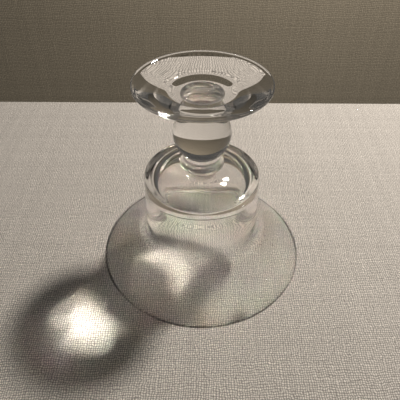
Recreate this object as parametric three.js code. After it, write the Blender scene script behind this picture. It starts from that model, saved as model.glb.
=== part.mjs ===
// Stemmed cocktail glass of clear soda-lime glass, standing upside down on its rim.
// Millimetres, +Z up. The origin is the centre of the rim, on the surface the glass stands on.
// Every piece is a solid of revolution about Z, and each rests on the next on a flat round face,
// where the glassmaker joins them hot.
import * as THREE from "three";

// ---- Driving dimensions (mm) ----
const HEIGHT = 114;
const RIM_RADIUS = 60;
const FOOT_RADIUS = 33.7;

// Bowl, outside. The well is the straight-walled cup above the flared brim.
const LIP = 1.4; // thickness of the rounded rim
const WELL_RADIUS = 32.8;
const BRIM_HEIGHT = 25; // where the straight wall flares out into the brim
const BRIM_FLARE = 11.2; // height that the flare's curves are pulled towards
const FLARE_REACH = 9; // and how far out from the well's wall
const SHOULDER_RADIUS = 31.6; // where the wall turns in to the thick base
const SHOULDER_HEIGHT = 56;
const SHOULDER_CORNER = 59.2; // height that the shoulder's tight curve is pulled towards
const CROWN_RADIUS = 29; // where the shoulder meets the gentle rise to the stem
const CROWN_HEIGHT = 60;
const CROWN_RUN = 6; // how far in the rise keeps its first slope
const CROWN_RISE = 2.2; // height it gains there

// Bowl, inside.
const WALL = 1.8; // thickness of the well's blown wall
const TAPER_HEIGHT = 30; // the wall thickens from here up to the well's domed end
const TAPER_EASE = 5.5; // height over which the thickening starts and ends
const DOME_HEIGHT = 60; // deepest point of the well, measured from the rim
const DOME_RADIUS = 20.8; // edge of the dome, where its tight corner starts
const DOME_EDGE = 55.3; // height of that edge
const DOME_SLOPE = 0.7; // fall of the dome at its edge, height over radius
const CORNER_REACH = 4.3; // how far the corner carries on outwards
const CORNER_DROP = 6; // how far it comes down
const CORNER_EASE = 0.7; // how far out it still runs at its low end

// Stem: ball between two collars.
const NECK_RADIUS = 9.7; // the stem on both sides of the ball
const BALL_RADIUS = 15.1;
const BALL_HEIGHT = 85.1; // centre of the ball
const BOWL_BEAD = 11.9; // radius of the collar's bead under the bowl
const FOOT_BEAD = 11; // and of the bead under the foot
const BEAD_EDGE = 0.3; // rounding of a bead where it meets the bowl or foot
const BEAD_HEIGHT = 1; // a bead is at its widest up to here
const BEAD_EASE = 1.6; // how far the bead's side stays steep
const NECK_EASE = 2.5; // and the neck's
const BOWL_JOINT = 66; // bowl to collar
const KNOP_JOINT = 72.8; // collar to ball
const STEM_JOINT = 97.4; // ball to the foot's collar
const FOOT_JOINT = 104.2; // collar to foot

// Foot: on the stem's side a gentle shelf round the stem, then a steeper cone out to the edge.
const SHELF_RADIUS = 17;
const SHELF_RISE = 0.9;
const SHELF_SLOPE = 0.18; // rise of the shelf at its edge, height over radius
const SHELF_EASE = 2.5; // how far each way the shelf keeps that slope
const SHELF_FILLET = 1.5; // how far out from the stem the shelf starts level
const CONE_RUN = 4.5; // how far in from the edge the cone is straight
const CONE_FALL = 2.2; // height it loses there
const FOOT_EDGE = 2.2; // thickness of the foot at its edge
const EDGE_ROUND = 0.8; // rounding of the edge
const FOOT_RING = 1.2; // width of the flat ring that the upright glass stands on
const FOOT_HOLLOW = 3.8; // depth of the hollow underside at its centre
const HOLLOW_RADIUS = 14.5; // the hollow's bottom is nearly level out to about here
const HOLLOW_EDGE = 0.5; // depth that its side is pulled towards next to the ring

// ---- Fineness ----
const SEGMENTS = 48; // round the axis
const CURVE_STEPS = 4; // along each curve of an outline

const clearGlass = () =>
  new THREE.MeshStandardMaterial({
    color: 0xe9eeeb,
    roughness: 0.03,
    metalness: 0,
    transparent: true,
    opacity: 0.35,
  });

// Turns an outline of (radius, height) about Z. It runs up the outside and starts and ends on the axis.
function turned(name, outline) {
  const geometry = new THREE.LatheGeometry(outline.getPoints(CURVE_STEPS), SEGMENTS);
  geometry.rotateX(Math.PI / 2);
  const mesh = new THREE.Mesh(geometry, clearGlass());
  mesh.name = name;
  return mesh;
}

// Bowl: brim, straight-walled well and thick base, hollow and open at the rim.
function bowl() {
  const inside = WELL_RADIUS - WALL;
  const corner = DOME_RADIUS + CORNER_REACH;
  const wallTop = DOME_EDGE - CORNER_DROP;
  const brimEdge = RIM_RADIUS - LIP;
  const outline = new THREE.Path()
    .moveTo(0, DOME_HEIGHT)
    .bezierCurveTo(
      DOME_RADIUS * 0.4, DOME_HEIGHT,
      DOME_RADIUS * 0.75, DOME_EDGE + DOME_RADIUS * 0.25 * DOME_SLOPE,
      DOME_RADIUS, DOME_EDGE,
    )
    .quadraticCurveTo(corner, DOME_EDGE - CORNER_REACH * DOME_SLOPE, corner + CORNER_EASE, wallTop)
    .bezierCurveTo(
      corner + CORNER_EASE * 2, wallTop - TAPER_EASE,
      inside, TAPER_HEIGHT + TAPER_EASE,
      inside, TAPER_HEIGHT,
    )
    .lineTo(inside, BRIM_HEIGHT)
    .bezierCurveTo(
      inside, BRIM_FLARE,
      inside + FLARE_REACH, BRIM_FLARE - 2 * LIP,
      brimEdge - LIP / 2, LIP / 2,
    )
    .quadraticCurveTo(RIM_RADIUS - LIP * 0.9, 0, RIM_RADIUS - LIP * 0.8, 0)
    .lineTo(RIM_RADIUS - LIP * 0.2, 0)
    .quadraticCurveTo(RIM_RADIUS, 0, RIM_RADIUS, LIP * 0.35)
    .quadraticCurveTo(RIM_RADIUS, LIP * 0.8, brimEdge, LIP * 1.2)
    .bezierCurveTo(
      WELL_RADIUS + FLARE_REACH, BRIM_FLARE,
      WELL_RADIUS, BRIM_FLARE + 2 * LIP,
      WELL_RADIUS, BRIM_HEIGHT + LIP,
    )
    .lineTo(SHOULDER_RADIUS, SHOULDER_HEIGHT)
    .bezierCurveTo(
      SHOULDER_RADIUS, SHOULDER_CORNER,
      SHOULDER_RADIUS, SHOULDER_CORNER,
      CROWN_RADIUS, CROWN_HEIGHT,
    )
    .bezierCurveTo(
      CROWN_RADIUS - CROWN_RUN, CROWN_HEIGHT + CROWN_RISE,
      BOWL_BEAD + CROWN_RUN, BOWL_JOINT,
      BOWL_BEAD - BEAD_EDGE, BOWL_JOINT,
    )
    .lineTo(0, BOWL_JOINT);
  return turned("bowl", outline);
}

// Collar: the little bead that joins the bowl to the stem, waisted towards the ball.
function bowlCollar() {
  const beadTop = BOWL_JOINT + BEAD_HEIGHT;
  const outline = new THREE.Path()
    .moveTo(0, BOWL_JOINT)
    .lineTo(BOWL_BEAD - BEAD_EDGE, BOWL_JOINT)
    .quadraticCurveTo(BOWL_BEAD, BOWL_JOINT + BEAD_EDGE, BOWL_BEAD, beadTop)
    .bezierCurveTo(
      BOWL_BEAD, beadTop + BEAD_EASE,
      NECK_RADIUS, KNOP_JOINT - NECK_EASE,
      NECK_RADIUS, KNOP_JOINT,
    )
    .lineTo(0, KNOP_JOINT);
  return turned("bowl_collar", outline);
}

// Knop: the solid ball of the stem, with a short neck at each end.
function knop() {
  const cut = Math.sqrt(BALL_RADIUS ** 2 - NECK_RADIUS ** 2);
  const reach = Math.atan2(cut, NECK_RADIUS);
  const outline = new THREE.Path()
    .moveTo(0, KNOP_JOINT)
    .lineTo(NECK_RADIUS, KNOP_JOINT)
    .lineTo(NECK_RADIUS, BALL_HEIGHT - cut)
    .absarc(0, BALL_HEIGHT, BALL_RADIUS, -reach, reach)
    .lineTo(NECK_RADIUS, STEM_JOINT)
    .lineTo(0, STEM_JOINT);
  return turned("knop", outline);
}

// Collar: the same between the ball and the foot.
function footCollar() {
  const beadLow = FOOT_JOINT - BEAD_HEIGHT;
  const outline = new THREE.Path()
    .moveTo(0, STEM_JOINT)
    .lineTo(NECK_RADIUS, STEM_JOINT)
    .bezierCurveTo(
      NECK_RADIUS, STEM_JOINT + NECK_EASE,
      FOOT_BEAD, beadLow - BEAD_EASE,
      FOOT_BEAD, beadLow,
    )
    .quadraticCurveTo(FOOT_BEAD, FOOT_JOINT - BEAD_EDGE, FOOT_BEAD - BEAD_EDGE, FOOT_JOINT)
    .lineTo(0, FOOT_JOINT);
  return turned("foot_collar", outline);
}

// Foot: a round saucer, sloping on the stem's side and hollowed a little underneath.
function foot() {
  const edgeLow = HEIGHT - FOOT_EDGE;
  const coneEnd = FOOT_RADIUS - SHELF_FILLET;
  const shelf = FOOT_JOINT + SHELF_RISE;
  const hollow = HEIGHT - FOOT_HOLLOW;
  const ringOut = FOOT_RADIUS - EDGE_ROUND;
  const outline = new THREE.Path()
    .moveTo(0, FOOT_JOINT)
    .lineTo(FOOT_BEAD - BEAD_EDGE, FOOT_JOINT)
    .bezierCurveTo(
      FOOT_BEAD + SHELF_FILLET, FOOT_JOINT + BEAD_EDGE,
      SHELF_RADIUS - SHELF_EASE, shelf - SHELF_EASE * SHELF_SLOPE,
      SHELF_RADIUS, shelf,
    )
    .bezierCurveTo(
      SHELF_RADIUS + SHELF_EASE, shelf + SHELF_EASE * SHELF_SLOPE,
      coneEnd - CONE_RUN, edgeLow - CONE_FALL,
      coneEnd, edgeLow,
    )
    .quadraticCurveTo(FOOT_RADIUS, edgeLow + BEAD_EDGE, FOOT_RADIUS, HEIGHT - FOOT_EDGE / 2)
    .quadraticCurveTo(FOOT_RADIUS, HEIGHT, ringOut, HEIGHT)
    .lineTo(ringOut - FOOT_RING, HEIGHT)
    .bezierCurveTo(ringOut - FOOT_RING * 4, HEIGHT - HOLLOW_EDGE, HOLLOW_RADIUS, hollow, 0, hollow);
  return turned("foot", outline);
}

const glass = new THREE.Group();
glass.name = "cocktail_glass";
glass.add(bowl(), bowlCollar(), knop(), footCollar(), foot());

export default glass;
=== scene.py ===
"""Stemmed cocktail glass of clear soda-lime glass, standing upside down on its rim."""

import math

import bpy
from bpy.props import FloatProperty, FloatVectorProperty, IntProperty, PointerProperty
from mathutils import Matrix, Vector


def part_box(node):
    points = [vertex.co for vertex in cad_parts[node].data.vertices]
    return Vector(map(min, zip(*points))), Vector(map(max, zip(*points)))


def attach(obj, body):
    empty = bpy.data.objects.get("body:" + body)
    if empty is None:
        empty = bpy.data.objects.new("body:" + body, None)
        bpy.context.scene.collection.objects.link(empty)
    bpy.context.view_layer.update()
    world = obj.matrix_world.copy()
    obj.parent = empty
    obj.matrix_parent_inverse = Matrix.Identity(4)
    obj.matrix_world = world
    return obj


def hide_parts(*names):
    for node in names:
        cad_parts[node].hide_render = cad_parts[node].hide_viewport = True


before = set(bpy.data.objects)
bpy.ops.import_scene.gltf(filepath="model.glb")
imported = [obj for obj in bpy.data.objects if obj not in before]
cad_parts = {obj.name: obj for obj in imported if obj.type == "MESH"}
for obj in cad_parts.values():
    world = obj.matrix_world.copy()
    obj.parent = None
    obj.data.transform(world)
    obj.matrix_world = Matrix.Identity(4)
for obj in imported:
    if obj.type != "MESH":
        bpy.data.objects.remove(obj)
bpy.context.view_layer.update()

bl_info = {
    "name": "Stemmed Cocktail Glass",
    "version": (1, 0, 0),
    "blender": (4, 5, 0),
    "location": "3D View > Sidebar > Glass",
    "description": "Turns a clear stemmed glass from its outlines and sets it in a small studio",
    "category": "Object",
}

BODY = "root"
MM = 0.001

# Turning
SPINDLE = 1 * MM  # radius of the circle that an outline is carried round
SKIN = 0.001 * MM  # points closer than this are one
CREASE = math.radians(30)  # edges sharper than this stay crisp
NO_JOINT = 10.0  # a height, in metres, that no face reaches
SAME_POINT = 1e-7  # in metres

# Surface of the glass
WAVE_DEPTH = 2 * MM
RING_SHARE = 0.3  # depth of the turning rings, as a share of the waves'
SMEAR_FROM, SMEAR_TO = 0.5, 0.8  # part of the noise that shows as wiping marks
SPECK_RADIUS = 0.02  # as a share of the specks' spacing
SPECK_ROUGHNESS = 0.5

# Plain weave. Cycles are of noise in one thread's width.
SWAY_CYCLES = 0.04  # whole threads wander
SLUB_CYCLES = 0.45  # thick and thin places
FUZZ_CYCLES = 0.8  # loose fibres
SWAY_THREADS = 4.0  # how far the threads wander, in threads
SLUB_THREADS = 1.6  # and how far a slub pushes them
ACROSS_POWER = 1.2  # a thread is round across its width
ALONG_POWER = 0.5  # and blunt where it dives under the next one
DARKEST = 0.42  # tone of the darkest fibre
FUZZ_TONE = 1.0
DYE_TONE = 0.16  # how much one thread's tone differs from the next
PAINTED_CROWN_LIGHT = 1.9  # painted highlight: how much lighter a thread's crown is painted than the painted shade in the gap
WEAVE_RELIEF = 0.6

# Studio
LAMP_SPREAD = math.radians(160)
WALL_REACH = 2.5  # to each side, in metres
WALL_FOOT = -1.2  # height of the wall's lower edge, in metres
SENSOR = 36.0  # in millimetres, as the lens
LENS = 40.5
NEAREST = 0.01  # in metres
CAMERA_PLACE = (-0.9 * MM, -191.8 * MM, 214.9 * MM)
CAMERA_TILT = math.radians(90 - 42.61)  # up from straight down; it looks down at 42.61 degrees
CAMERA_ROLL = math.radians(0.31)


def linear(hex_colour):
    """An sRGB hex colour as the linear colour that shaders use."""
    channels = [int(hex_colour[i:i + 2], 16) / 255 for i in (0, 2, 4)]
    return tuple(c / 12.92 if c <= 0.04045 else ((c + 0.055) / 1.055) ** 2.4 for c in channels)


# ---- Sizes and finishes a user would change ----

def length(name, description, millimetres):
    return FloatProperty(
        name=name, description=description, default=millimetres * MM, unit="LENGTH", subtype="DISTANCE"
    )


def slope(name, description, default):
    return FloatProperty(name=name, description=description, default=default)


def colour(name, description, hex_colour):
    return FloatVectorProperty(
        name=name, description=description, subtype="COLOR", default=linear(hex_colour), min=0, max=1
    )


class GLASS_PG_sizes(bpy.types.PropertyGroup):
    """Sizes of the outlines inside the CAD pieces' boxes."""

    lip: length("Lip", "Thickness of the rounded rim", 1.4)
    well_radius: length("Well radius", "Outside radius of the straight wall", 32.8)
    brim_height: length("Brim height", "Height at which the straight wall flares out", 25.0)
    brim_flare: length("Brim flare", "Height that the flare's curves are pulled towards", 11.2)
    flare_reach: length("Flare reach", "How far out the flare's curves are pulled", 9.0)
    shoulder_radius: length("Shoulder radius", "Outside radius of the wall where it turns in", 31.6)
    shoulder_height: length("Shoulder height", "Height at which the wall turns in", 56.0)
    shoulder_corner: length("Shoulder corner", "Height that the shoulder's curve is pulled towards", 59.2)
    crown_radius: length("Crown radius", "Radius at which the shoulder meets the crown", 29.0)
    crown_height: length("Crown height", "Height at which the shoulder meets the crown", 60.0)
    crown_run: length("Crown run", "How far in the crown keeps its first slope", 6.0)
    crown_rise: length("Crown rise", "Height that the crown gains there", 2.2)

    wall: length("Wall", "Thickness of the well's blown wall", 1.8)
    taper_height: length("Taper height", "Height from which the well's wall thickens", 30.0)
    taper_ease: length("Taper ease", "Height over which the thickening starts and ends", 5.5)
    dome_height: length("Dome height", "Deepest point of the well", 60.0)
    dome_radius: length("Dome radius", "Edge of the well's domed end", 20.8)
    dome_edge: length("Dome edge", "Height of that edge", 55.3)
    dome_slope: slope("Dome slope", "Fall of the dome at its edge", 0.7)
    corner_reach: length("Corner reach", "How far the well's corner carries on outwards", 4.3)
    corner_drop: length("Corner drop", "How far the well's corner comes down", 6.0)
    corner_ease: length("Corner ease", "How far out the corner still runs at its low end", 0.7)

    neck_radius: length("Neck radius", "Radius of the stem at both ends of the ball", 9.7)
    bead_edge: length("Bead edge", "Rounding of a collar's bead at its joint", 0.3)
    bead_height: length("Bead height", "A bead is at its widest up to here", 1.0)
    bead_ease: length("Bead ease", "How far the bead's side stays steep", 1.6)
    neck_ease: length("Neck ease", "How far the neck's side stays steep", 2.5)

    shelf_radius: length("Shelf radius", "Edge of the gentle shelf round the stem", 17.0)
    shelf_rise: length("Shelf rise", "Height that the shelf gains", 0.9)
    shelf_slope: slope("Shelf slope", "Rise of the shelf at its edge", 0.18)
    shelf_ease: length("Shelf ease", "How far each way the shelf keeps that slope", 2.5)
    shelf_fillet: length("Shelf fillet", "How far out from the stem the shelf starts level", 1.5)
    cone_run: length("Cone run", "How far in from the edge the foot's cone is straight", 4.5)
    cone_fall: length("Cone fall", "Height that the cone loses there", 2.2)
    foot_edge: length("Foot edge", "Thickness of the foot at its edge", 2.2)
    edge_round: length("Edge rounding", "Rounding of the foot's edge", 0.8)
    foot_ring: length("Foot ring", "Width of the flat ring that the upright glass stands on", 1.2)
    foot_hollow: length("Foot hollow", "Depth of the hollow underside at its centre", 3.8)
    hollow_radius: length("Hollow radius", "The hollow's bottom is nearly level out to here", 14.5)
    hollow_edge: length("Hollow edge", "Depth that the hollow's side is pulled towards", 0.5)

    segments: IntProperty(name="Segments", description="Faces round the axis", default=192, min=24)
    steps: IntProperty(name="Steps", description="Points along each curve of an outline", default=24, min=4)


class GLASS_PG_look(bpy.types.PropertyGroup):
    """Finishes of the glass and of the studio."""

    glass_colour: colour("Glass", "Tint of the glass", "fdfcfb")
    glass_ior: FloatProperty(name="IOR", description="Refraction of soda-lime glass", default=1.52, min=1)
    ripple: length("Ripple", "Spacing of the faint waves in the blown surface", 14.0)
    ring_spacing: length("Ring spacing", "Spacing of the faint rings left by the turning tools", 5.0)
    wiping: FloatProperty(
        name="Wiping", description="Roughness that the wiping marks add", default=0.02, min=0, max=1
    )
    waviness: FloatProperty(
        name="Waviness", description="Strength of the surface's waves and rings", default=0.008, min=0, max=1
    )
    smear: length("Smear", "Size of the wiping marks", 18.0)
    speck_spacing: length("Speck spacing", "Spacing of the specks of dust", 12.0)
    cloth_colour: colour("Cloth", "Pale linen under the glass", "d8d3cc")
    cloth_thread: length("Cloth thread", "Spacing of the linen's threads", 1.2)
    wall_colour: colour("Wall", "Taupe canvas behind", "c2b7a2")
    wall_thread: length("Wall thread", "Spacing of the canvas's threads", 4.0)
    key_colour: colour("Key light", "Colour of the lamp", "fff6ec")
    key_power: FloatProperty(
        name="Key power", description="Power of the lamp", default=28.0, min=0, unit="POWER"
    )
    key_size: length("Key size", "Radius of the round lamp", 50.0)
    key_place: FloatVectorProperty(
        name="Key place", description="Where the lamp is", default=(0.361, 0.332, 0.75), unit="LENGTH"
    )
    key_target: FloatVectorProperty(
        name="Key target", description="Where the lamp points", default=(0.3, 0.45, 0), unit="LENGTH"
    )
    cloth_side: length("Cloth side", "Reach of the cloth to each side and to the front", 450.0)
    cloth_back: length("Cloth back", "Reach of the cloth to the back", 174.0)
    wall_place: length("Wall place", "Distance of the wall behind the glass", 900.0)
    wall_top: length("Wall top", "Height of the wall's upper edge", 100.0)
    room_colour: colour("Room", "Colour of the light from all round", "8c8a86")
    room_strength: FloatProperty(
        name="Room strength", description="Strength of the light from all round", default=0.27, min=0
    )


# ---- Outlines: (radius, height) points up the outside of a turned piece ----

def straight(*points):
    return [Vector(p) for p in points]


def bend(start, first, second, end, steps):
    """A cubic curve from start to end, pulled towards two control points."""
    a, b, c, d = (Vector(p) for p in (start, first, second, end))
    curve = []
    for i in range(steps + 1):
        t = i / steps
        u = 1 - t
        curve.append(a * u**3 + b * 3 * u * u * t + c * 3 * u * t * t + d * t**3)
    return curve


def turn(start, corner, end, steps):
    """A soft corner: a quadratic curve from start to end, pulled towards the corner."""
    a, b, c = (Vector(p) for p in (start, corner, end))
    return bend(a, a + (b - a) * 2 / 3, c + (b - c) * 2 / 3, c, steps)


def arc(centre, radius, start, end, steps):
    """Part of a circle between two angles, in radians from the outward radius."""
    angles = [start + (end - start) * i / steps for i in range(steps + 1)]
    return [Vector((centre[0] + radius * math.cos(a), centre[1] + radius * math.sin(a))) for a in angles]


def joined(*stretches):
    """Stretches of outline end to end, without the points they share."""
    points = []
    for stretch in stretches:
        for point in stretch:
            if not points or (point - points[-1]).length > SAME_POINT:
                points.append(point)
    return points


# ---- Building blocks ----

def add_node(tree, kind, links=None, values=None, **settings):
    """A node with its settings, its input values, and links into its inputs."""
    node = tree.nodes.new(kind)
    for name, value in settings.items():
        setattr(node, name, value)
    for name, value in (values or {}).items():
        node.inputs[name].default_value = value
    for name, source in (links or {}).items():
        tree.links.new(source, node.inputs[name])
    return node


def turning_tree():
    """Geometry Nodes tree that turns an outline about Z, welds it and gives it its materials."""
    name = "turned_about_z"
    if name in bpy.data.node_groups:
        return bpy.data.node_groups[name]
    tree = bpy.data.node_groups.new(name, "GeometryNodeTree")
    for label, kind in (
        ("Outline", "NodeSocketObject"),
        ("Segments", "NodeSocketInt"),
        ("Spindle", "NodeSocketFloat"),
        ("Weld", "NodeSocketFloat"),
        ("Crease", "NodeSocketFloat"),
        ("Low joint", "NodeSocketFloat"),
        ("High joint", "NodeSocketFloat"),
        ("Glass", "NodeSocketMaterial"),
        ("Fused", "NodeSocketMaterial"),
    ):
        tree.interface.new_socket(label, in_out="INPUT", socket_type=kind)
    tree.interface.new_socket("Geometry", in_out="OUTPUT", socket_type="NodeSocketGeometry")
    given = tree.nodes.new("NodeGroupInput").outputs
    outline = add_node(tree, "GeometryNodeObjectInfo", {"Object": given["Outline"]})
    circle = add_node(
        tree, "GeometryNodeCurvePrimitiveCircle",
        {"Resolution": given["Segments"], "Radius": given["Spindle"]},
    )
    upright = add_node(tree, "GeometryNodeSetCurveNormal", {"Curve": circle.outputs["Curve"]}, mode="Z_UP")
    swept = add_node(
        tree, "GeometryNodeCurveToMesh",
        {"Curve": upright.outputs["Curve"], "Profile Curve": outline.outputs["Geometry"]},
    )
    welded = add_node(
        tree, "GeometryNodeMergeByDistance", {"Geometry": swept.outputs["Mesh"], "Distance": given["Weld"]}
    )
    smooth = add_node(tree, "GeometryNodeSetShadeSmooth", {"Geometry": welded.outputs["Geometry"]})
    angle = add_node(tree, "GeometryNodeInputMeshEdgeAngle")
    creased = add_node(
        tree, "FunctionNodeCompare",
        {"A": angle.outputs["Unsigned Angle"], "B": given["Crease"]}, operation="GREATER_THAN",
    )
    crisp = add_node(
        tree, "GeometryNodeSetShadeSmooth",
        {"Geometry": smooth.outputs["Geometry"], "Selection": creased.outputs["Result"]},
        {"Shade Smooth": False}, domain="EDGE",
    )
    place = add_node(tree, "GeometryNodeInputPosition")
    height = add_node(tree, "ShaderNodeSeparateXYZ", {"Vector": place.outputs["Position"]})
    below = add_node(
        tree, "FunctionNodeCompare",
        {"A": height.outputs["Z"], "B": given["Low joint"]}, operation="LESS_EQUAL",
    )
    above = add_node(
        tree, "FunctionNodeCompare",
        {"A": height.outputs["Z"], "B": given["High joint"]}, operation="GREATER_EQUAL",
    )
    joint = add_node(
        tree, "FunctionNodeBooleanMath",
        {0: below.outputs["Result"], 1: above.outputs["Result"]}, operation="OR",
    )
    real = add_node(tree, "GeometryNodeRealizeInstances", {"Geometry": crisp.outputs["Geometry"]})
    glassy = add_node(
        tree, "GeometryNodeSetMaterial", {"Geometry": real.outputs["Geometry"], "Material": given["Glass"]}
    )
    fused = add_node(
        tree, "GeometryNodeSetMaterial",
        {
            "Geometry": glassy.outputs["Geometry"],
            "Selection": joint.outputs["Boolean"],
            "Material": given["Fused"],
        },
    )
    add_node(tree, "NodeGroupOutput", {"Geometry": fused.outputs["Geometry"]})
    return tree


def turned(context, name, outline, low_joint=-NO_JOINT, high_joint=NO_JOINT):
    """Turns an outline into the glass piece that stands for the CAD node of that name."""
    sizes = context.scene.glass_sizes
    curve = bpy.data.curves.new(name + "_outline", "CURVE")
    curve.dimensions = "3D"
    spline = curve.splines.new("POLY")
    spline.points.add(len(outline) - 1)
    for point, (radius, height) in zip(spline.points, reversed(outline)):
        point.co = (radius - SPINDLE, -height, 0, 1)
    guide = bpy.data.objects.new(name + "_outline", curve)
    blank = bpy.data.objects.new(name + "_blank", bpy.data.meshes.new(name + "_blank"))
    for helper in (guide, blank):
        context.scene.collection.objects.link(helper)
    modifier = blank.modifiers.new("turning", "NODES")
    tree = turning_tree()
    modifier.node_group = tree
    wanted = {
        "Outline": guide,
        "Segments": sizes.segments,
        "Spindle": SPINDLE,
        "Weld": SKIN,
        "Crease": CREASE,
        "Low joint": low_joint + SKIN,
        "High joint": high_joint - SKIN,
        "Glass": clear_glass(context),
        "Fused": fused_joint(),
    }
    for socket in tree.interface.items_tree:
        if socket.in_out == "INPUT":
            modifier[socket.identifier] = wanted[socket.name]
    context.view_layer.update()
    evaluated = blank.evaluated_get(context.evaluated_depsgraph_get())
    mesh = bpy.data.meshes.new_from_object(evaluated, depsgraph=context.evaluated_depsgraph_get())
    mesh.name = name
    for helper in (blank, guide):
        bpy.data.objects.remove(helper)
    piece = bpy.data.objects.new(name + "_glass", mesh)
    context.scene.collection.objects.link(piece)
    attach(piece, BODY)
    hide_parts(name)
    return piece


# ---- Materials ----

def new_material(name):
    material = bpy.data.materials.new(name)
    material.use_nodes = True
    material.node_tree.nodes.clear()
    return material, material.node_tree


def maths(tree, operation, *terms):
    """A Math node on sockets or numbers; returns its value."""
    sockets = {i: term for i, term in enumerate(terms) if isinstance(term, bpy.types.NodeSocket)}
    numbers = {i: term for i, term in enumerate(terms) if i not in sockets}
    return add_node(tree, "ShaderNodeMath", sockets, numbers, operation=operation).outputs["Value"]


def clear_glass(context):
    """Soda-lime glass, blown and fire-polished: clear, faintly wavy, with wiping marks and specks."""
    name = "clear_soda_lime_glass"
    if name in bpy.data.materials:
        return bpy.data.materials[name]
    look = context.scene.glass_look
    material, tree = new_material(name)
    place = add_node(tree, "ShaderNodeTexCoord").outputs["Object"]
    waves = add_node(
        tree, "ShaderNodeTexNoise", {"Vector": place}, {"Scale": 1 / look.ripple, "Detail": 1.0}
    )
    axes = add_node(tree, "ShaderNodeSeparateXYZ", {"Vector": place}).outputs
    flat = add_node(tree, "ShaderNodeCombineXYZ", {"X": axes["X"], "Y": axes["Y"]})
    radius = add_node(tree, "ShaderNodeVectorMath", {0: flat.outputs["Vector"]}, operation="LENGTH")
    turned_place = add_node(tree, "ShaderNodeCombineXYZ", {"X": radius.outputs["Value"], "Z": axes["Z"]})
    rings = add_node(
        tree, "ShaderNodeTexNoise", {"Vector": turned_place.outputs["Vector"]},
        {"Scale": 1 / look.ring_spacing, "Detail": 1.0},
    )
    height = maths(tree, "MULTIPLY_ADD", rings.outputs["Fac"], RING_SHARE, waves.outputs["Fac"])
    bump = add_node(
        tree, "ShaderNodeBump", {"Height": height}, {"Strength": look.waviness, "Distance": WAVE_DEPTH}
    )
    smears = add_node(
        tree, "ShaderNodeTexNoise", {"Vector": turned_place.outputs["Vector"]},
        {"Scale": 1 / look.smear, "Detail": 4.0, "Distortion": 1.5},
    )
    wiped = add_node(
        tree, "ShaderNodeMapRange", {"Value": smears.outputs["Fac"]},
        {"From Min": SMEAR_FROM, "From Max": SMEAR_TO, "To Min": 0.0, "To Max": look.wiping},
    )
    dust = add_node(
        tree, "ShaderNodeTexVoronoi", {"Vector": place}, {"Scale": 1 / look.speck_spacing}
    )
    speck = maths(tree, "LESS_THAN", dust.outputs["Distance"], SPECK_RADIUS)
    roughness = maths(tree, "MULTIPLY_ADD", speck, SPECK_ROUGHNESS, wiped.outputs["Result"])
    shader = add_node(
        tree, "ShaderNodeBsdfPrincipled",
        {"Normal": bump.outputs["Normal"], "Roughness": roughness},
        {"Base Color": (*look.glass_colour, 1), "IOR": look.glass_ior, "Transmission Weight": 1.0},
    )
    add_node(tree, "ShaderNodeOutputMaterial", {"Surface": shader.outputs["BSDF"]})
    return material


def fused_joint():
    """Where two pieces of glass are fused there is no surface left, so light goes straight on."""
    name = "fused_joint"
    if name in bpy.data.materials:
        return bpy.data.materials[name]
    material, tree = new_material(name)
    clear = add_node(tree, "ShaderNodeBsdfTransparent")
    add_node(tree, "ShaderNodeOutputMaterial", {"Surface": clear.outputs["BSDF"]})
    return material


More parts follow.
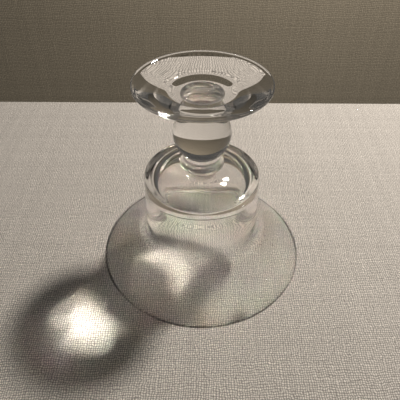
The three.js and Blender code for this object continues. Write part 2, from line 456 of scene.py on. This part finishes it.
def plain_weave(name, base, thread, across, gap):
    """Woven cloth: threads along X and the axis across, that wander, swell and differ in tone.

    The gap is the tone of the painted shade between the threads, as a share of a thread's own; each thread's
    crown carries a painted highlight.
    """
    material, tree = new_material(name)
    place = add_node(tree, "ShaderNodeTexCoord").outputs["Object"]
    sway = add_node(
        tree, "ShaderNodeTexNoise", {"Vector": place}, {"Scale": SWAY_CYCLES / thread, "Detail": 3.0}
    )
    slub = add_node(
        tree, "ShaderNodeTexNoise", {"Vector": place}, {"Scale": SLUB_CYCLES / thread, "Detail": 2.0}
    )
    fuzz = add_node(
        tree, "ShaderNodeTexNoise", {"Vector": place},
        {"Scale": FUZZ_CYCLES / thread, "Detail": 4.0, "Roughness": 0.7},
    )
    axes = add_node(tree, "ShaderNodeSeparateXYZ", {"Vector": place}).outputs
    drifts = add_node(tree, "ShaderNodeSeparateColor", {"Color": slub.outputs["Color"]}).outputs
    ribs, tones = [], []
    for axis, way, drift in (("X", 1, "Red"), (across, -1, "Green")):
        wobble = maths(tree, "MULTIPLY", drifts[drift], SLUB_THREADS)
        laid = maths(tree, "MULTIPLY_ADD", sway.outputs["Fac"], way * SWAY_THREADS, wobble)
        count = maths(tree, "MULTIPLY_ADD", axes[axis], 1 / thread, laid)
        ribs.append(maths(tree, "SINE", maths(tree, "MULTIPLY", count, math.pi)))
        own = add_node(
            tree, "ShaderNodeTexWhiteNoise", {"W": maths(tree, "FLOOR", count)}, noise_dimensions="1D"
        )
        tones.append(own.outputs["Value"])
    warp_over = maths(tree, "GREATER_THAN", maths(tree, "MULTIPLY", *ribs), 0)
    warp_power = maths(tree, "MULTIPLY_ADD", warp_over, ACROSS_POWER - ALONG_POWER, ALONG_POWER)
    weft_power = maths(tree, "MULTIPLY_ADD", warp_over, ALONG_POWER - ACROSS_POWER, ACROSS_POWER)
    warp = maths(tree, "POWER", maths(tree, "ABSOLUTE", ribs[0]), warp_power)
    weft = maths(tree, "POWER", maths(tree, "ABSOLUTE", ribs[1]), weft_power)
    height = maths(tree, "MULTIPLY", warp, weft)
    top_thread = add_node(tree, "ShaderNodeMix", {0: warp_over, 2: tones[1], 3: tones[0]}).outputs[0]
    fuzzy = maths(tree, "MULTIPLY_ADD", fuzz.outputs["Fac"], FUZZ_TONE, DARKEST)
    tone = maths(tree, "MULTIPLY_ADD", top_thread, DYE_TONE, fuzzy)
    # Painted light: each thread's crown is painted lighter and the gap between threads darker, as painted
    # shade in the weave.
    crown_light_gap_shade = maths(tree, "MULTIPLY_ADD", height, (1 - gap) * PAINTED_CROWN_LIGHT, gap)
    shade = maths(tree, "MULTIPLY", tone, crown_light_gap_shade)
    dye_and_painted_light = add_node(tree, "ShaderNodeVectorMath", {1: shade}, {0: base}, operation="MULTIPLY")
    bump = add_node(
        tree, "ShaderNodeBump", {"Height": height}, {"Strength": WEAVE_RELIEF, "Distance": thread / 6}
    )
    shader = add_node(
        tree, "ShaderNodeBsdfPrincipled",
        {"Base Color": dye_and_painted_light.outputs["Vector"], "Normal": bump.outputs["Normal"]}, {"Roughness": 0.9},
    )
    add_node(tree, "ShaderNodeOutputMaterial", {"Surface": shader.outputs["BSDF"]})
    return material


# ---- Pieces ----

class GLASS_OT_bowl(bpy.types.Operator):
    """Make the bowl: rounded rim, flared brim, straight well and thick base"""

    bl_idname = "glass.bowl"
    bl_label = "Make Bowl"

    def execute(self, context):
        s = context.scene.glass_sizes
        n = s.steps
        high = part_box("bowl")[1]
        rim, joint = high.x, high.z
        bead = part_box("bowl_collar")[1].x
        edge = rim - s.lip
        inside = s.well_radius - s.wall
        corner = s.dome_radius + s.corner_reach
        wall_top = s.dome_edge - s.corner_drop
        outline = joined(
            bend((0, s.dome_height), (s.dome_radius * 0.4, s.dome_height),
                 (s.dome_radius * 0.75, s.dome_edge + s.dome_radius * 0.25 * s.dome_slope),
                 (s.dome_radius, s.dome_edge), n),
            turn((s.dome_radius, s.dome_edge), (corner, s.dome_edge - s.corner_reach * s.dome_slope),
                 (corner + s.corner_ease, wall_top), n),
            bend((corner + s.corner_ease, wall_top), (corner + 2 * s.corner_ease, wall_top - s.taper_ease),
                 (inside, s.taper_height + s.taper_ease), (inside, s.taper_height), n),
            bend((inside, s.brim_height), (inside, s.brim_flare),
                 (inside + s.flare_reach, s.brim_flare - 2 * s.lip), (edge - s.lip / 2, s.lip / 2), n),
            turn((edge - s.lip / 2, s.lip / 2), (rim - s.lip * 0.9, 0), (rim - s.lip * 0.8, 0), n // 4),
            turn((rim - s.lip * 0.2, 0), (rim, 0), (rim, s.lip * 0.35), n // 4),
            turn((rim, s.lip * 0.35), (rim, s.lip * 0.8), (edge, s.lip * 1.2), n // 4),
            bend((edge, s.lip * 1.2), (s.well_radius + s.flare_reach, s.brim_flare),
                 (s.well_radius, s.brim_flare + 2 * s.lip), (s.well_radius, s.brim_height + s.lip), n),
            bend((s.shoulder_radius, s.shoulder_height), (s.shoulder_radius, s.shoulder_corner),
                 (s.shoulder_radius, s.shoulder_corner), (s.crown_radius, s.crown_height), n),
            bend((s.crown_radius, s.crown_height),
                 (s.crown_radius - s.crown_run, s.crown_height + s.crown_rise),
                 (bead + s.crown_run, joint), (bead - s.bead_edge, joint), n),
            straight((0, joint)),
        )
        turned(context, "bowl", outline, high_joint=joint)
        return {"FINISHED"}


def collar_side(s, bead, joint, neck):
    """The side of a collar, from its bead at the joint to the ball's neck."""
    up = 1 if neck > joint else -1
    bead_end = joint + up * s.bead_height
    return joined(
        turn((bead - s.bead_edge, joint), (bead, joint + up * s.bead_edge), (bead, bead_end), s.steps // 3),
        bend((bead, bead_end), (bead, bead_end + up * s.bead_ease),
             (s.neck_radius, neck - up * s.neck_ease), (s.neck_radius, neck), s.steps),
    )


class GLASS_OT_bowl_collar(bpy.types.Operator):
    """Make the small collar that joins the bowl to the stem"""

    bl_idname = "glass.bowl_collar"
    bl_label = "Make Bowl Collar"

    def execute(self, context):
        low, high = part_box("bowl_collar")
        side = collar_side(context.scene.glass_sizes, high.x, low.z, high.z)
        outline = joined(straight((0, low.z)), side, straight((0, high.z)))
        turned(context, "bowl_collar", outline, low.z, high.z)
        return {"FINISHED"}


class GLASS_OT_knop(bpy.types.Operator):
    """Make the solid ball of the stem, with a short neck at each end"""

    bl_idname = "glass.knop"
    bl_label = "Make Knop"

    def execute(self, context):
        s = context.scene.glass_sizes
        low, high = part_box("knop")
        ball, centre = high.x, (low.z + high.z) / 2
        cut = math.sqrt(ball**2 - s.neck_radius**2)
        reach = math.atan2(cut, s.neck_radius)
        outline = joined(
            straight((0, low.z), (s.neck_radius, low.z)),
            arc((0, centre), ball, -reach, reach, 3 * s.steps),
            straight((s.neck_radius, high.z), (0, high.z)),
        )
        turned(context, "knop", outline, low.z, high.z)
        return {"FINISHED"}


class GLASS_OT_foot_collar(bpy.types.Operator):
    """Make the short collar that joins the ball to the foot"""

    bl_idname = "glass.foot_collar"
    bl_label = "Make Foot Collar"

    def execute(self, context):
        low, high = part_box("foot_collar")
        side = collar_side(context.scene.glass_sizes, high.x, high.z, low.z)
        outline = joined(straight((0, low.z)), side[::-1], straight((0, high.z)))
        turned(context, "foot_collar", outline, low.z, high.z)
        return {"FINISHED"}


class GLASS_OT_foot(bpy.types.Operator):
    """Make the saucer foot, sloping on the stem's side and hollow underneath"""

    bl_idname = "glass.foot"
    bl_label = "Make Foot"

    def execute(self, context):
        s = context.scene.glass_sizes
        n = s.steps
        low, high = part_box("foot")
        joint, radius, top = low.z, high.x, high.z
        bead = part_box("foot_collar")[1].x
        edge = top - s.foot_edge
        cone_end = radius - s.shelf_fillet
        shelf = joint + s.shelf_rise
        ease_rise = s.shelf_ease * s.shelf_slope
        ring = radius - s.edge_round
        hollow = top - s.foot_hollow
        outline = joined(
            straight((0, joint)),
            bend((bead - s.bead_edge, joint), (bead + s.shelf_fillet, joint + s.bead_edge),
                 (s.shelf_radius - s.shelf_ease, shelf - ease_rise), (s.shelf_radius, shelf), n),
            bend((s.shelf_radius, shelf), (s.shelf_radius + s.shelf_ease, shelf + ease_rise),
                 (cone_end - s.cone_run, edge - s.cone_fall), (cone_end, edge), n),
            turn((cone_end, edge), (radius, edge + s.bead_edge), (radius, top - s.foot_edge / 2), n // 4),
            turn((radius, top - s.foot_edge / 2), (radius, top), (ring, top), n // 4),
            bend((ring - s.foot_ring, top), (ring - 4 * s.foot_ring, top - s.hollow_edge),
                 (s.hollow_radius, hollow), (0, hollow), n),
        )
        turned(context, "foot", outline, joint)
        return {"FINISHED"}


# ---- The studio ----

def slab(context, name, corners, material):
    """A flat sheet between four corners, as part of the stage."""
    mesh = bpy.data.meshes.new(name)
    mesh.from_pydata([Vector(c) for c in corners], [], [(0, 1, 2, 3)])
    mesh.materials.append(material)
    sheet = bpy.data.objects.new(name, mesh)
    context.scene.collection.objects.link(sheet)
    return sheet


def lamp(context, name, place, target, radius, watts, tint):
    """A soft round lamp, brightest towards its target, in metres and watts."""
    light = bpy.data.lights.new(name, "SPOT")
    light.shadow_soft_size = radius
    light.energy = watts
    light.color = tint
    light.spot_size = LAMP_SPREAD
    light.spot_blend = 1.0
    aim = Vector(target) - Vector(place)
    bulb = bpy.data.objects.new(name, light)
    bulb.matrix_world = Matrix.Translation(place) @ aim.to_track_quat("-Z", "Y").to_matrix().to_4x4()
    context.scene.collection.objects.link(bulb)
    return bulb


class GLASS_OT_stage(bpy.types.Operator):
    """Make the studio: linen floor, taupe wall, soft lights and the camera"""

    bl_idname = "glass.stage"
    bl_label = "Make Stage"

    def execute(self, context):
        scene = context.scene
        look = scene.glass_look
        side, back = look.cloth_side, look.cloth_back
        behind, top = look.wall_place, look.wall_top
        # Coarse undyed linen: matt, with plain threads, painted highlights on their crowns and painted shade
        # in the little gaps.
        linen = plain_weave("pale_linen", look.cloth_colour, look.cloth_thread, "Y", 0.4)
        slab(context, "linen_floor",
             [(-side, -side, 0), (side, -side, 0), (side, back, 0), (-side, back, 0)], linen)
        # Cotton canvas: closer and flatter, with fainter painted shade in its gaps and painted highlights on
        # its crowns. Its threads are drawn coarser than real ones, so that they show.
        canvas = plain_weave("taupe_canvas", look.wall_colour, look.wall_thread, "Z", 0.7)
        slab(context, "canvas_wall",
             [(-WALL_REACH, behind, WALL_FOOT), (WALL_REACH, behind, WALL_FOOT),
              (WALL_REACH, behind, top), (-WALL_REACH, behind, top)], canvas)
        lamp(context, "key_light", look.key_place, look.key_target, look.key_size, look.key_power,
             look.key_colour)
        world = bpy.data.worlds.new("room")
        world.use_nodes = True
        world.node_tree.nodes["Background"].inputs["Color"].default_value = (*look.room_colour, 1)
        world.node_tree.nodes["Background"].inputs["Strength"].default_value = look.room_strength
        scene.world = world
        camera = bpy.data.objects.new("camera", bpy.data.cameras.new("camera"))
        camera.data.sensor_width = SENSOR
        camera.data.lens = LENS
        camera.data.clip_start = NEAREST
        tilt = Matrix.Rotation(CAMERA_TILT, 4, "X")
        camera.matrix_world = Matrix.Translation(CAMERA_PLACE) @ tilt @ Matrix.Rotation(CAMERA_ROLL, 4, "Z")
        scene.collection.objects.link(camera)
        scene.camera = camera
        # Unclamped and unblurred, so that light focused by the glass reaches the floor.
        cycles = scene.cycles
        cycles.max_bounces = 24
        cycles.transmission_bounces = 20
        cycles.glossy_bounces = 12
        cycles.transparent_max_bounces = 32
        cycles.blur_glossy = 0
        cycles.sample_clamp_indirect = 0
        scene.view_settings.view_transform = "Standard"
        return {"FINISHED"}


class GLASS_PT_panel(bpy.types.Panel):
    """Lists the pieces and their sizes"""

    bl_label = "Stemmed Glass"
    bl_idname = "GLASS_PT_panel"
    bl_space_type = "VIEW_3D"
    bl_region_type = "UI"
    bl_category = "Glass"

    def draw(self, context):
        for group in (context.scene.glass_sizes, context.scene.glass_look):
            for name in group.__annotations__:
                self.layout.prop(group, name)
        for operator in OPERATORS:
            self.layout.operator(operator.bl_idname)


OPERATORS = (
    GLASS_OT_stage, GLASS_OT_bowl, GLASS_OT_bowl_collar, GLASS_OT_knop, GLASS_OT_foot_collar, GLASS_OT_foot,
)
CLASSES = (GLASS_PG_sizes, GLASS_PG_look, *OPERATORS, GLASS_PT_panel)


def register():
    for cls in CLASSES:
        bpy.utils.register_class(cls)
    bpy.types.Scene.glass_sizes = PointerProperty(type=GLASS_PG_sizes)
    bpy.types.Scene.glass_look = PointerProperty(type=GLASS_PG_look)


def unregister():
    del bpy.types.Scene.glass_look
    del bpy.types.Scene.glass_sizes
    for cls in reversed(CLASSES):
        bpy.utils.unregister_class(cls)


def build():
    for operator in OPERATORS:
        module, call = operator.bl_idname.split(".")
        getattr(getattr(bpy.ops, module), call)()


def main():
    register()
    build()


if __name__ == "__main__":
    main()
